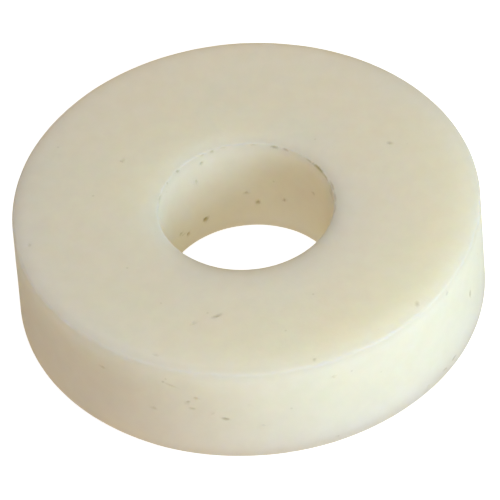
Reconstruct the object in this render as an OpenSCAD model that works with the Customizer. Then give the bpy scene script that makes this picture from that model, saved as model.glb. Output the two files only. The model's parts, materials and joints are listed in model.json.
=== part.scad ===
// Thick flat washer, moulded in one piece from natural nylon.
// The bore axis is Z. The origin is on that axis, at the lower bearing face.

/* [Ring] */
// Outer diameter
outer_d = 17; // [14:0.5:30]
// Bore diameter, which clears an M6 bolt
bore_d = 6.4; // [3.2:0.1:8.4]
// Thickness between the two bearing faces
thickness = 4.25; // [1.75:0.05:8]

/* [Edges] */
// Radius on the two outer edges
outer_edge_r = 0.1; // [0.05:0.05:0.8]
// Radius on the two edges of the bore
bore_edge_r = 0.05; // [0.05:0.05:0.5]

/* [Hidden] */
$fn = 128;

outer_r = outer_d / 2;
bore_r = bore_d / 2;
ivory = [0.80, 0.77, 0.67];

// The two corner rounds of one wall, at the lower and the upper face.
// centre_x is how far the centres of the rounds lie from the bore axis.
module corner_rounds(centre_x, round_r) {
    for (centre_z = [round_r, thickness - round_r])
        translate([centre_x, centre_z])
            circle(round_r);
}

// One wall's band between its two corner rounds, as wide as the rounds' radius.
module wall_band(inner_x, round_r) {
    translate([inner_x, round_r])
        square([round_r, thickness - 2 * round_r]);
}

// Half of the ring's section: a rectangle with four rounded corners.
module ring_section() {
    bore_centre_x = bore_r + bore_edge_r;
    outer_centre_x = outer_r - outer_edge_r;

    translate([bore_centre_x, 0])
        square([outer_centre_x - bore_centre_x, thickness]);

    wall_band(bore_r, bore_edge_r);
    corner_rounds(bore_centre_x, bore_edge_r);

    wall_band(outer_centre_x, outer_edge_r);
    corner_rounds(outer_centre_x, outer_edge_r);
}

module washer() {
    color(ivory)
        rotate_extrude()
            ring_section();
}

washer();
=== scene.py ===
import json
import math
import random
from collections import namedtuple

import bmesh
import bpy
from mathutils import Matrix, Vector, noise
from mathutils.kdtree import KDTree


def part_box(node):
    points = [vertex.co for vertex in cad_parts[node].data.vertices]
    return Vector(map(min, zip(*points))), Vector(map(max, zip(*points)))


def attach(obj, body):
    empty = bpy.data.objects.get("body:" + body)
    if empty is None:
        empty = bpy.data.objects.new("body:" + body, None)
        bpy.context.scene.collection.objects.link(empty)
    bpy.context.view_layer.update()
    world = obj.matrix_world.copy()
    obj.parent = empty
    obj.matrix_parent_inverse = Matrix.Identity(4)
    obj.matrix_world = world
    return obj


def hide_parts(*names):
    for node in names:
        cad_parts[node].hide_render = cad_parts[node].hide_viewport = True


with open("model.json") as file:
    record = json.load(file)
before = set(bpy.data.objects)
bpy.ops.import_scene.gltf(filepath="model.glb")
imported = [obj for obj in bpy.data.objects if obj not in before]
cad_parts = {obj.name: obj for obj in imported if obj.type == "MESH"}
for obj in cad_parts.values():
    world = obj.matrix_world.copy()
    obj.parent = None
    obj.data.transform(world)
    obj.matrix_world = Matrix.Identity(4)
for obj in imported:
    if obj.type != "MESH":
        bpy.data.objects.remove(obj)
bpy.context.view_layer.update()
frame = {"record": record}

# A thick flat washer, moulded in one piece from natural nylon. It lies on a pale, glowing floor.

MM = 0.001

# ---------------------------------------------------------------- sizes, from the frame
washer_low, washer_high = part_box("washer")
MIDDLE = (washer_low + washer_high) / 2
OUTER_R = washer_high.x
THICKNESS = washer_high.z
BORE_R = next(m["dims"]["r_mm"] for m in frame["record"]["mounts"] if m["name"] == "bore") * MM
# The radii of the rounded edges, as in the frame's solid.
OUTER_EDGE_R = 0.1 * MM
BORE_EDGE_R = 0.05 * MM

# ---------------------------------------------------------------- fineness of the mesh
# A cell's length across the section, and the number of cells round the ring.
CELL = 0.15 * MM
SPIN_STEPS = 336
# Faces in each rounded edge, and the cuts that each cell gets where a nick goes.
OUTER_EDGE_CUTS = 4
BORE_EDGE_CUTS = 3
NICK_CUTS = 5
# Points closer than this are one point.
WELD = 0.001 * MM

# ---------------------------------------------------------------- surface of the moulding
# Each wave is (depth, length) of the slow unevenness that moulding and cooling leave.
SINK_WAVES = ((0.012 * MM, 3.0 * MM), (0.004 * MM, 0.9 * MM))
SEED = 17

# A nick is a small dent with its long axis turned from the direction round the ring. Its
# azimuth and turn are in degrees. Length and width are half sizes in mm. Place, in mm, is a
# radius on a face, a height on a wall, and a depth below the upper face on the bore's rim.
# The last field is how dark a nick is: partly grime, partly painted shade in its hollow.
Nick = namedtuple("Nick", "surface azimuth place length width turn grime")

# The direction across the ring's surface, at right angles to the one round it, as
# (outwards, upwards).
ACROSS = {
    "upper face": (1, 0),
    "lower face": (1, 0),
    "outer wall": (0, 1),
    "bore wall": (0, 1),
    "bore rim": (0.7, 0.7),
}

# The form of every nick. Its depth is a share of its width, and its lip's height a share of its
# depth. Reach, lip and its grime and painted shade go out from its centre, where 1 is its border.
NICK_REACH = 1.7
NICK_DEPTH = 0.5
LIP_HEIGHT = 0.25
LIP_AT = 1.2
LIP_SPREAD = 0.25
GRIME_AND_SHADE_SPREAD = 1.5
# How far its border strays, as a share, and the size of the waves in it.
NICK_RAGGED = 0.35
NICK_RAGGED_SIZE = 0.06 * MM

# The nicks placed by chance: from least to most, in mm, degrees and share of grime and painted
# shade.
CHANCE_LENGTHS = (0.08, 0.17)
CHANCE_WIDTHS = (0.05, 0.09)
CHANCE_TURNS = (0, 180)
CHANCE_GRIME_AND_SHADE = (0.2, 0.6)

# Painted shade along the edges: how dark it is at an edge, and how far it fades out.
EDGE_PAINTED_SHADE = 0.14
EDGE_PAINTED_SHADE_REACH = 0.5 * MM

# ---------------------------------------------------------------- the nylon
IVORY = (0.78, 0.735, 0.59)
IVORY_GREEN = (0.755, 0.74, 0.60)
IVORY_PALE = (0.82, 0.79, 0.67)
# Dark brown for dust specks, for grime in the nicks, and for painted shade in the nicks and along
# the edges.
GRIME_AND_SHADE = (0.33, 0.30, 0.14)
# Clouds and mottle vary the color, and grain is the fine relief.
CLOUD_SIZE = 3.0 * MM
MOTTLE_SIZE = 0.7 * MM
MOTTLE_SHARE = 0.35
GRAIN_SIZE = 0.12 * MM
GRAIN_HEIGHT = 0.01 * MM
GRAIN_STRENGTH = 0.25
# Specks of dust: their spacing, radius, solid core, share of the places taken, and darkness.
SPECK_CELL = 0.55 * MM
SPECK_R = 0.06 * MM
SPECK_CORE = 0.4
SPECK_SHARE = 0.12
SPECK_GRIME = 0.2
# Roughness where the nylon is clean, and what full dust, grime and painted shade add to it.
SMOOTHEST = 0.58
ROUGHEST = 0.68
GRIME_AND_SHADE_ROUGHNESS = 0.2
# How deep light scatters inside, and the share of that for red, green and blue.
SCATTER_DEPTH = 6.0 * MM
SCATTER_COLOR = (1.0, 0.8, 0.5)
NYLON_IOR = 1.53
NYLON_SPECULAR = 0.15

# ---------------------------------------------------------------- stage and camera
FLOOR_HALF = 3.0
# The floor stays clear of the lower face's unevenness, so that its light reaches the whole face.
FLOOR_GAP = 0.05 * MM
FLOOR_GREY = (0.5, 0.5, 0.5, 1)
FLOOR_ROUGHNESS = 0.8
# The strength of the floor's glow: as it looks, and as it lights the washer.
FLOOR_LOOK = 0.85
FLOOR_LIGHT = 0.35
FLOOR_LIGHT_COLOR = (1.0, 0.82, 0.52)
WHITE = (1, 1, 1)
# The camera: its sensor in mm, its place, and its angles in degrees.
SENSOR = 36
CAMERA_DISTANCE = 45 * OUTER_R
CAMERA_ELEVATION = 45.37
CAMERA_ROLL = -4.57
# How wide it sees at the washer, how far it aims from the washer's middle, and its depth of view.
FIELD_WIDTH = 2.139 * OUTER_R
AIM_RIGHT = 0.025 * MM
AIM_UP = -0.109 * MM
NEAREST_SEEN = 0.01
FARTHEST_SEEN = 4


# ---------------------------------------------------------------- the nicks and their places
def seen_nicks():
    """The nicks on the near side, placed one by one."""
    # Surface, azimuth, place, length, width, turn, grime and painted shade.
    return [
        Nick("upper face", 147, 5.2, 0.12, 0.09, 0, 0.2),
        Nick("upper face", 26, 6.0, 0.14, 0.08, -40, 0.35),
        Nick("upper face", -104, 5.6, 0.20, 0.08, -35, 0.5),
        Nick("upper face", -111, 6.1, 0.16, 0.07, -60, 0.15),
        Nick("upper face", -117, 8.0, 0.14, 0.06, 0, 0.2),
        Nick("upper face", -44, 8.1, 0.07, 0.05, 0, 0.45),
        Nick("upper face", -76, 8.2, 0.11, 0.06, 10, 0.45),
        Nick("upper face", -172, 8.0, 0.09, 0.07, 0, 0.25),
        Nick("upper face", 12, 3.24, 0.35, 0.05, 0, 0.6),
        Nick("upper face", 2, 3.24, 0.35, 0.05, 0, 0.5),
        Nick("upper face", -8, 3.24, 0.35, 0.05, 0, 0.3),
        Nick("outer wall", -99, 2.0, 0.16, 0.07, -12, 0.6),
        Nick("outer wall", -102, 2.25, 0.09, 0.07, 60, 0.2),
        Nick("outer wall", -90, 1.6, 0.12, 0.07, 0, 0.15),
        Nick("outer wall", -93, 2.7, 0.08, 0.06, 0, 0.1),
        Nick("outer wall", -23, 2.2, 0.18, 0.08, 90, 0.65),
        Nick("outer wall", -35, 3.9, 0.13, 0.07, 90, 0.25),
        Nick("outer wall", -114, 3.5, 0.06, 0.05, 0, 0.35),
        Nick("outer wall", -112, 3.4, 0.26, 0.05, -15, 0.25),
        Nick("outer wall", -108, 2.7, 0.10, 0.06, 30, 0.35),
        Nick("outer wall", -106, 2.95, 0.13, 0.07, 0, 0.35),
        Nick("outer wall", -107, 2.4, 0.13, 0.06, 0, 0.25),
        Nick("outer wall", -117, 2.0, 0.14, 0.07, 0, 0.2),
        Nick("outer wall", -131, 3.1, 0.14, 0.07, 0, 0.3),
        Nick("outer wall", -72, 3.4, 0.10, 0.07, 0, 0.25),
        Nick("outer wall", -34, 0.4, 0.16, 0.05, 10, 0.6),
        Nick("outer wall", -38, 0.35, 0.14, 0.06, 170, 0.35),
        Nick("outer wall", -45, 0.35, 0.12, 0.06, 0, 0.1),
        Nick("outer wall", -72, 0.3, 0.07, 0.05, 0, 0.45),
        Nick("bore wall", 118, 0.9, 0.12, 0.11, 0, 0.9),
        Nick("bore wall", 82, 1.2, 0.10, 0.10, 0, 0.6),
        Nick("bore wall", 64, 1.5, 0.09, 0.07, 0, 0.5),
        Nick("bore wall", 89, 1.7, 0.11, 0.08, 0, 0.3),
        Nick("bore wall", 39, 2.6, 0.09, 0.08, 0, 0.3),
        Nick("bore wall", 118, 3.8, 0.09, 0.07, 0, 0.45),
        Nick("bore wall", 123, 3.0, 0.15, 0.07, 80, 0.25),
        Nick("bore wall", 140, 1.0, 0.10, 0.07, 0, 0.5),
        Nick("bore wall", 137, 0.85, 0.18, 0.04, 10, 0.25),
        Nick("bore wall", 133, 0.7, 0.09, 0.08, 0, 0.8),
        Nick("bore rim", 31, 0.05, 0.42, 0.07, 0, 1.0),
        Nick("bore rim", 41, 0.05, 0.22, 0.045, 0, 0.6),
        Nick("bore rim", 22, 0.06, 0.26, 0.05, 0, 0.7),
        Nick("bore rim", 50, 0.06, 0.20, 0.035, 0, 0.2),
        Nick("bore rim", 60, 0.06, 0.15, 0.055, 0, 0.6),
        Nick("bore rim", 68, 0.07, 0.18, 0.06, 0, 0.7),
        Nick("bore rim", 82, 0.07, 0.18, 0.035, 0, 0.35),
        Nick("bore rim", 102, 0.06, 0.20, 0.035, 0, 0.3),
        Nick("bore rim", 110, 0.09, 0.11, 0.06, 0, 0.5),
        Nick("bore rim", 117, 0.09, 0.12, 0.05, 0, 0.3),
        Nick("bore rim", 138, 0.09, 0.13, 0.06, 30, 0.6),
        Nick("bore rim", 151, 0.08, 0.10, 0.06, 60, 0.25),
        Nick("bore rim", 166, 0.09, 0.30, 0.07, 0, 0.45),
    ]


def chance_nicks():
    """More nicks of the same kind, by chance, on the sides that are turned away."""
    chance = random.Random(SEED)
    # Surface, number of nicks, range of azimuths and range of places.
    stretches = (
        ("lower face", 14, (0, 360), (3.6, 8.0)),
        ("outer wall", 16, (5, 175), (0.3, 3.9)),
        ("bore wall", 8, (-170, -10), (0.3, 3.9)),
    )
    nicks = []
    for surface, count, azimuths, places in stretches:
        ranges = (azimuths, places, CHANCE_LENGTHS, CHANCE_WIDTHS, CHANCE_TURNS, CHANCE_GRIME_AND_SHADE)
        for _ in range(count):
            nicks.append(Nick(surface, *[chance.uniform(least, most) for least, most in ranges]))
    return nicks


def nick_centre(nick):
    """(radius, height) of a nick's centre, in metres."""
    return {
        "upper face": (nick.place * MM, THICKNESS),
        "lower face": (nick.place * MM, 0),
        "outer wall": (OUTER_R, nick.place * MM),
        "bore wall": (BORE_R, nick.place * MM),
        "bore rim": (BORE_R, THICKNESS - nick.place * MM),
    }[nick.surface]


def distance_in_nick(nick, co):
    """0 at the nick's centre and 1 at its border, measured along the curved surface."""
    radius, height = nick_centre(nick)
    outwards, upwards = ACROSS[nick.surface]
    azimuth_gap = math.remainder(math.atan2(co.y, co.x) - math.radians(nick.azimuth), math.tau)
    around = radius * azimuth_gap
    across = (math.hypot(co.x, co.y) - radius) * outwards + (co.z - height) * upwards
    turn = math.radians(nick.turn)
    lengthwise = around * math.cos(turn) + across * math.sin(turn)
    crosswise = across * math.cos(turn) - around * math.sin(turn)
    ragged = 1 + NICK_RAGGED * noise.noise(co / NICK_RAGGED_SIZE)
    return math.hypot(lengthwise / nick.length, crosswise / nick.width) / MM * ragged


def smooth_peak(distance):
    """1 at distance 0, falling smoothly to 0 at distance 1."""
    inside = max(0, 1 - distance)
    return inside * inside * (3 - 2 * inside)


# ---------------------------------------------------------------- the moulded ring
def half_section(ring):
    """Outline of the ring's section in the XZ plane: a rectangle with four rounded corners."""
    corners = [(BORE_R, 0), (OUTER_R, 0), (OUTER_R, THICKNESS), (BORE_R, THICKNESS)]
    ring.faces.new([ring.verts.new((x, 0, z)) for x, z in corners])
    walls = ((OUTER_R, OUTER_EDGE_R, OUTER_EDGE_CUTS), (BORE_R, BORE_EDGE_R, BORE_EDGE_CUTS))
    for wall_x, edge_r, cuts in walls:
        wall_ends = [v for v in ring.verts if abs(v.co.x - wall_x) < WELD]
        bmesh.ops.bevel(
            ring, geom=wall_ends, offset=edge_r, offset_type="OFFSET", segments=cuts,
            profile=0.5, affect="VERTICES", material=-1,
        )
    for edge in ring.edges[:]:
        cuts = round(edge.calc_length() / CELL) - 1
        if cuts > 0:
            bmesh.ops.subdivide_edges(ring, edges=[edge], cuts=cuts)
    bmesh.ops.delete(ring, geom=ring.faces[:], context="FACES_ONLY")


def spun_ring():
    """The plain ring: its half section spun once round the bore axis."""
    ring = bmesh.new()
    half_section(ring)
    bmesh.ops.spin(
        ring, geom=ring.verts[:] + ring.edges[:], cent=(0, 0, 0), axis=(0, 0, 1), dvec=(0, 0, 0),
        angle=math.tau, space=Matrix(), steps=SPIN_STEPS, use_merge=True, use_duplicate=False,
    )
    bmesh.ops.remove_doubles(ring, verts=ring.verts[:], dist=WELD)
    bmesh.ops.recalc_face_normals(ring, faces=ring.faces[:])
    return ring


def nearby_verts(ring, nicks):
    """For each nick, the vertices that it can move."""
    ring.verts.ensure_lookup_table()
    ring.verts.index_update()
    finder = KDTree(len(ring.verts))
    for vert in ring.verts:
        finder.insert(vert.co, vert.index)
    finder.balance()
    groups = []
    for nick in nicks:
        radius, height = nick_centre(nick)
        azimuth = math.radians(nick.azimuth)
        centre = (radius * math.cos(azimuth), radius * math.sin(azimuth), height)
        reach = NICK_REACH * max(nick.length, nick.width) * MM
        groups.append([ring.verts[i] for _, i, _ in finder.find_range(centre, reach)])
    return groups


def refine_at_nicks(ring, nicks):
    """Cuts the mesh finer where the nicks go."""
    edges = set()
    for group in nearby_verts(ring, nicks):
        near = set(group)
        for vert in group:
            edges.update(e for e in vert.link_edges if e.other_vert(vert) in near)
    bmesh.ops.subdivide_edges(ring, edges=list(edges), cuts=NICK_CUTS, use_grid_fill=True)
    # A face next to a finer stretch gets a middle point, so that none of its triangles is flat.
    bmesh.ops.poke(ring, faces=[face for face in ring.faces if len(face.verts) > 4])


def add_sink_waves(ring):
    """Moves the surface in and out by slow waves."""
    ring.normal_update()
    moves = []
    for vert in ring.verts:
        rise = 0
        for layer, (depth, length) in enumerate(SINK_WAVES):
            rise += depth * noise.noise(vert.co / length + Vector((SEED, layer, 0)))
        moves.append(vert.normal * rise)
    for vert, move in zip(ring.verts, moves):
        vert.co += move


def press_nicks(ring, nicks):
    """Presses each nick in, with a low lip round it, and marks how dark it is: grime and painted
    shade in its hollow.
    """
    grime = ring.verts.layers.float["grime"]
    ring.normal_update()
    moves = {}
    for nick, group in zip(nicks, nearby_verts(ring, nicks)):
        depth = NICK_DEPTH * min(nick.width, nick.length) * MM
        for vert in group:
            distance = distance_in_nick(nick, vert.co)
            lip = LIP_HEIGHT * math.exp(-((distance - LIP_AT) / LIP_SPREAD) ** 2)
            rise = depth * (lip - smooth_peak(distance))
            moves[vert] = moves.get(vert, Vector()) + vert.normal * rise
            # The nick's darkening: partly grime, partly painted shade in its hollow.
            vert[grime] = max(vert[grime], nick.grime * smooth_peak(distance / GRIME_AND_SHADE_SPREAD))
    for vert, move in moves.items():
        vert.co += move


def paint_shade_on_edges(ring):
    """Paints shade along the ring's four edges: the ring gets darker towards each edge."""
    grime = ring.verts.layers.float["grime"]
    corners = [(radius, height) for radius in (BORE_R, OUTER_R) for height in (0, THICKNESS)]
    for vert in ring.verts:
        vert_r = math.hypot(vert.co.x, vert.co.y)
        gap = min(math.hypot(vert_r - radius, vert.co.z - height) for radius, height in corners)
        # Painted shade: darker towards each edge.
        vert[grime] = max(vert[grime], EDGE_PAINTED_SHADE * smooth_peak(gap / EDGE_PAINTED_SHADE_REACH))


def finished_piece(piece_mesh, name, material):
    """Turns the mesh into an object with a smooth surface and its material."""
    mesh = bpy.data.meshes.new(name)
    piece_mesh.to_mesh(mesh)
    piece_mesh.free()
    mesh.shade_smooth()
    mesh.materials.append(material)
    piece = bpy.data.objects.new(name, mesh)
    bpy.context.scene.collection.objects.link(piece)
    return piece


def mould_ring():
    """The washer: a plain ring, then its unevenness, its nicks and the painted shade along its
    edges.
    """
    ring = spun_ring()
    nicks = seen_nicks() + chance_nicks()
    refine_at_nicks(ring, nicks)
    add_sink_waves(ring)
    ring.verts.layers.float.new("grime")
    press_nicks(ring, nicks)
    paint_shade_on_edges(ring)
    return finished_piece(ring, "moulded_ring", cloudy_nylon())


# ---------------------------------------------------------------- materials
def add_node(tree, kind, inputs, **settings):
    """Adds a shader node. An input that is another node's output is linked, any other is set."""
    node = tree.nodes.new(kind)
    for name, value in settings.items():
        setattr(node, name, value)
    for name, value in inputs.items():
        if isinstance(value, bpy.types.NodeSocket):
            tree.links.new(value, node.inputs[name])
        else:
            node.inputs[name].default_value = value
    return node


def spread(tree, value, low, high, to_low=0.0, to_high=1.0):
    """Maps low..high to to_low..to_high, and holds what lies beyond."""
    ends = {"From Min": low, "From Max": high, "To Min": to_low, "To Max": to_high}
    return add_node(tree, "ShaderNodeMapRange", {"Value": value, **ends}).outputs["Result"]


def noise_mask(tree, place, size, detail, low=0.35, high=0.65):
    """Cloudy noise with features of the given size, spread to the range 0 to 1."""
    settings = {"Vector": place, "Scale": 1 / size, "Detail": detail}
    cloud = add_node(tree, "ShaderNodeTexNoise", settings)
    return spread(tree, cloud.outputs["Fac"], low, high)


def calculate(tree, operation, first, second):
    """The result of a Math node."""
    return add_node(tree, "ShaderNodeMath", {0: first, 1: second}, operation=operation).outputs[0]


def blend_colors(tree, mask, where_0, where_1):
    """Color where_0 where the mask is 0, and where_1 where it is 1."""
    mix = add_node(tree, "ShaderNodeMix", {}, data_type="RGBA")
    factor, color_a, color_b = mix.inputs[0], mix.inputs[6], mix.inputs[7]
    for socket, value in ((factor, mask), (color_a, where_0), (color_b, where_1)):
        if isinstance(value, bpy.types.NodeSocket):
            tree.links.new(value, socket)
        else:
            socket.default_value = (*value, 1)
    return mix.outputs[2]


def speck_mask(tree, place):
    """Tiny dark specks of dust: a few of the cells of a cell pattern hold one each."""
    cells = add_node(tree, "ShaderNodeTexVoronoi", {"Vector": place, "Scale": 1 / SPECK_CELL})
    rim = SPECK_R / SPECK_CELL
    dot = spread(tree, cells.outputs["Distance"], rim, SPECK_CORE * rim)
    cell_color = add_node(tree, "ShaderNodeSeparateColor", {"Color": cells.outputs["Color"]})
    chosen = calculate(tree, "GREATER_THAN", cell_color.outputs["Red"], 1 - SPECK_SHARE)
    return calculate(tree, "MULTIPLY", dot, chosen)


def new_material(name):
    """A material with its node tree and its Principled shader."""
    material = bpy.data.materials.new(name)
    material.use_nodes = True
    return material, material.node_tree, material.node_tree.nodes["Principled BSDF"]


def cloudy_nylon():
    """Undyed nylon: ivory, cloudy, slightly translucent, with dust specks, grime and painted
    shade in its nicks, and painted shade along its edges.
    """
    material, tree, shader = new_material("cloudy_nylon")
    place = add_node(tree, "ShaderNodeTexCoord", {}).outputs["Object"]
    clouds = noise_mask(tree, place, CLOUD_SIZE, detail=3)
    mottle = noise_mask(tree, place, MOTTLE_SIZE, detail=3)
    grain = noise_mask(tree, place, GRAIN_SIZE, detail=2, low=0.2, high=0.8)
    grime = add_node(tree, "ShaderNodeAttribute", {}, attribute_name="grime").outputs["Fac"]
    specks = calculate(tree, "MULTIPLY", speck_mask(tree, place), SPECK_GRIME)
    dirt_and_shade = calculate(tree, "MAXIMUM", grime, specks)

    ivory = blend_colors(tree, clouds, IVORY, IVORY_GREEN)
    ivory = blend_colors(tree, spread(tree, mottle, 0, 1, 0, MOTTLE_SHARE), ivory, IVORY_PALE)
    # Dust specks, grime and painted shade turn the ivory dark brown.
    tree.links.new(blend_colors(tree, dirt_and_shade, ivory, GRIME_AND_SHADE), shader.inputs["Base Color"])

    clean = spread(tree, mottle, 0, 1, SMOOTHEST, ROUGHEST)
    roughness = calculate(tree, "ADD", clean, calculate(tree, "MULTIPLY", dirt_and_shade, GRIME_AND_SHADE_ROUGHNESS))
    tree.links.new(roughness, shader.inputs["Roughness"])
    relief = {"Height": grain, "Strength": GRAIN_STRENGTH, "Distance": GRAIN_HEIGHT}
    bump = add_node(tree, "ShaderNodeBump", relief)
    tree.links.new(bump.outputs["Normal"], shader.inputs["Normal"])

    shader.inputs["Subsurface Weight"].default_value = 1.0
    shader.inputs["Subsurface Radius"].default_value = SCATTER_COLOR
    shader.inputs["Subsurface Scale"].default_value = SCATTER_DEPTH
    shader.inputs["IOR"].default_value = NYLON_IOR
    shader.inputs["Specular IOR Level"].default_value = NYLON_SPECULAR
    return material


def pale_floor():
    """White floor that glows like a light table. It looks whiter than the warm light it gives."""
    material, tree, shader = new_material("pale_floor")
    shader.inputs["Base Color"].default_value = FLOOR_GREY
    shader.inputs["Roughness"].default_value = FLOOR_ROUGHNESS
    seen_directly = add_node(tree, "ShaderNodeLightPath", {}).outputs["Is Camera Ray"]
    glow_color = blend_colors(tree, seen_directly, FLOOR_LIGHT_COLOR, WHITE)
    tree.links.new(glow_color, shader.inputs["Emission Color"])
    glow = spread(tree, seen_directly, 0, 1, FLOOR_LIGHT, FLOOR_LOOK)
    tree.links.new(glow, shader.inputs["Emission Strength"])
    return material


# ---------------------------------------------------------------- stage, lights, camera
def lay_floor():
    """The sheet that the washer lies on."""
    sheet = bmesh.new()
    just_below = Matrix.Translation((0, 0, -FLOOR_GAP))
    bmesh.ops.create_grid(sheet, x_segments=1, y_segments=1, size=FLOOR_HALF, matrix=just_below)
    floor = finished_piece(sheet, "floor", pale_floor())


def direction(azimuth, elevation):
    """Unit vector from the washer. In degrees; azimuth turns from +X towards +Y."""
    a = math.radians(azimuth)
    e = math.radians(elevation)
    return Vector((math.cos(a) * math.cos(e), math.sin(a) * math.cos(e), math.sin(e)))


def softbox(name, azimuth, elevation, distance, size, watts, color):
    """A rectangular soft light that faces the washer."""
    lamp = bpy.data.lights.new(name, "AREA")
    lamp.shape = "RECTANGLE"
    lamp.size, lamp.size_y = size
    lamp.energy = watts
    lamp.color = color
    holder = bpy.data.objects.new(name, lamp)
    towards_light = direction(azimuth, elevation)
    holder.location = MIDDLE + towards_light * distance
    holder.rotation_euler = (-towards_light).to_track_quat("-Z", "Y").to_euler()
    holder.visible_camera = False
    bpy.context.scene.collection.objects.link(holder)


def white_room():
    """The room round the floor looks white, and gives no light of its own."""
    world = bpy.data.worlds.new("white_room")
    world.use_nodes = True
    tree = world.node_tree
    background = tree.nodes["Background"]
    background.inputs["Color"].default_value = (*WHITE, 1)
    seen_directly = add_node(tree, "ShaderNodeLightPath", {}).outputs["Is Camera Ray"]
    tree.links.new(seen_directly, background.inputs["Strength"])
    bpy.context.scene.world = world


def place_camera():
    """A long lens, close to parallel projection, tipped a little to one side."""
    elevation = math.radians(CAMERA_ELEVATION)
    roll = math.radians(CAMERA_ROLL)
    back = Vector((0, -math.cos(elevation), math.sin(elevation)))
    level_right = Vector((1, 0, 0))
    level_up = back.cross(level_right)
    right = level_right * math.cos(roll) + level_up * math.sin(roll)
    up = level_up * math.cos(roll) - level_right * math.sin(roll)

    lens = bpy.data.cameras.new("camera")
    lens.sensor_width = SENSOR
    lens.lens = SENSOR * CAMERA_DISTANCE / FIELD_WIDTH
    lens.clip_start = NEAREST_SEEN
    lens.clip_end = FARTHEST_SEEN
    camera = bpy.data.objects.new("camera", lens)
    stand = MIDDLE + right * AIM_RIGHT + up * AIM_UP + back * CAMERA_DISTANCE
    axes = Matrix((right, up, back)).transposed()
    camera.matrix_world = Matrix.Translation(stand) @ axes.to_4x4()
    bpy.context.scene.collection.objects.link(camera)
    bpy.context.scene.camera = camera


# ---------------------------------------------------------------- the washer on its stage
ring_piece = mould_ring()
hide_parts("washer")
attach(ring_piece, "root")

lay_floor()
# Name, azimuth and elevation in degrees, distance and size in metres, watts, color.
softbox("window", -40, 22, 0.10, (0.05, 0.04), 0.073, (0.74, 0.91, 1.0))
softbox("front", -110, 35, 0.40, (0.30, 0.20), 0.26, (0.9, 0.7, 1.0))
softbox("back", 90, 30, 0.40, (0.30, 0.20), 0.445, (1.0, 0.77, 0.37))
softbox("overhead", -90, 75, 0.40, (0.30, 0.20), 0.68, (1.0, 1.0, 1.0))
white_room()
place_camera()
bpy.context.scene.view_settings.view_transform = "Standard"
